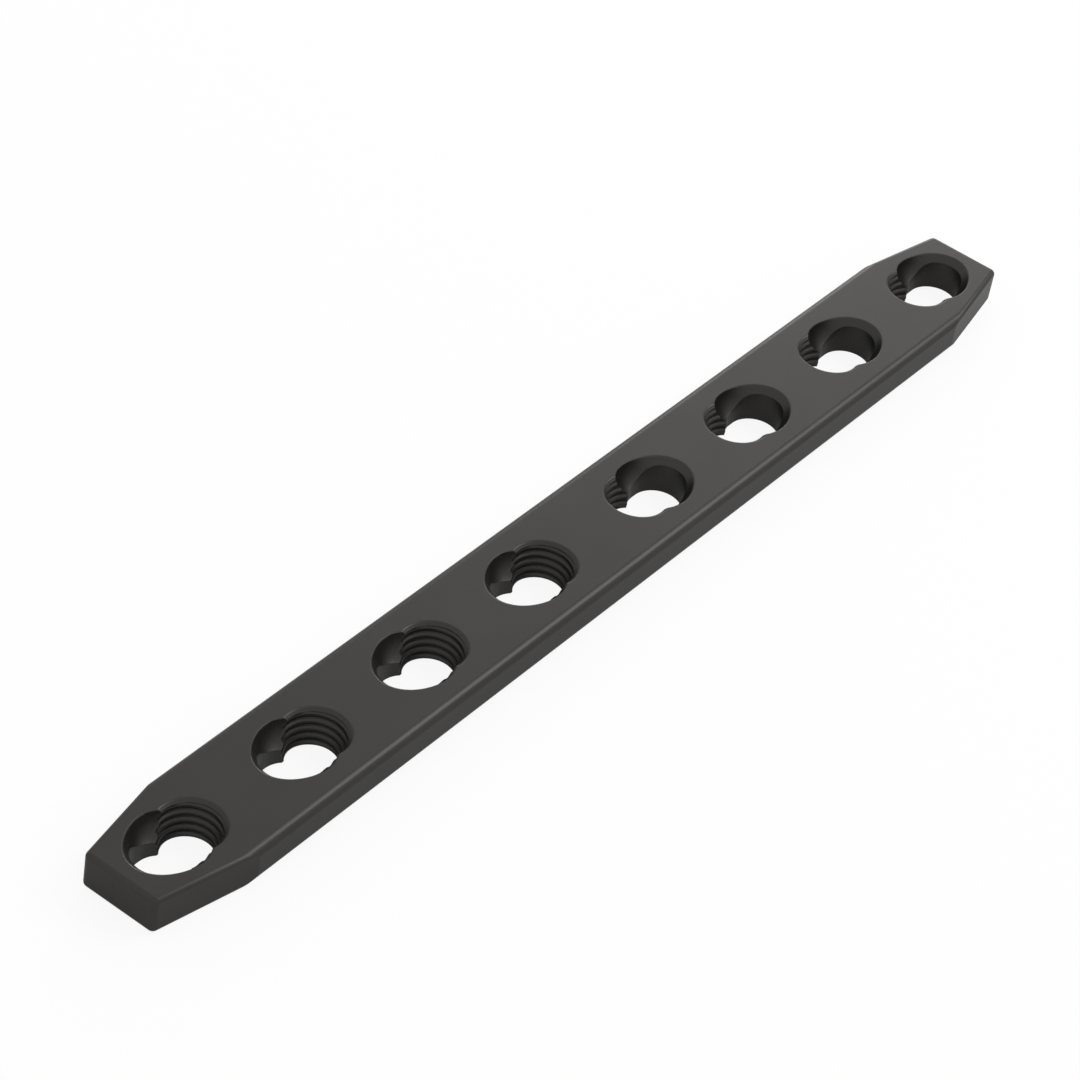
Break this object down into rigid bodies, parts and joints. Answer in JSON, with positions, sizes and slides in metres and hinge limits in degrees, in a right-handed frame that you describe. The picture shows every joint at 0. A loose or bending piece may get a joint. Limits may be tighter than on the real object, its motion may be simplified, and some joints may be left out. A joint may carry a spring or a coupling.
{
  "type": "locking compression plate",
  "caption": "Straight bone plate with tapered ends and a row of combination holes, each a threaded round lobe joined to a sloped slot.",
  "frame": {"origin": "middle of the flat bone-side face, half way between the two middle holes", "axes": "+X along the plate, +Y across it, +Z from the bone side to the screw-head side"},
  "size_m": [0.1038, 0.0098, 0.0031],
  "materials": {
    "titanium": null
  },
  "bodies": {
    "root": {"plate": "titanium"}
  },
  "joints": []
}
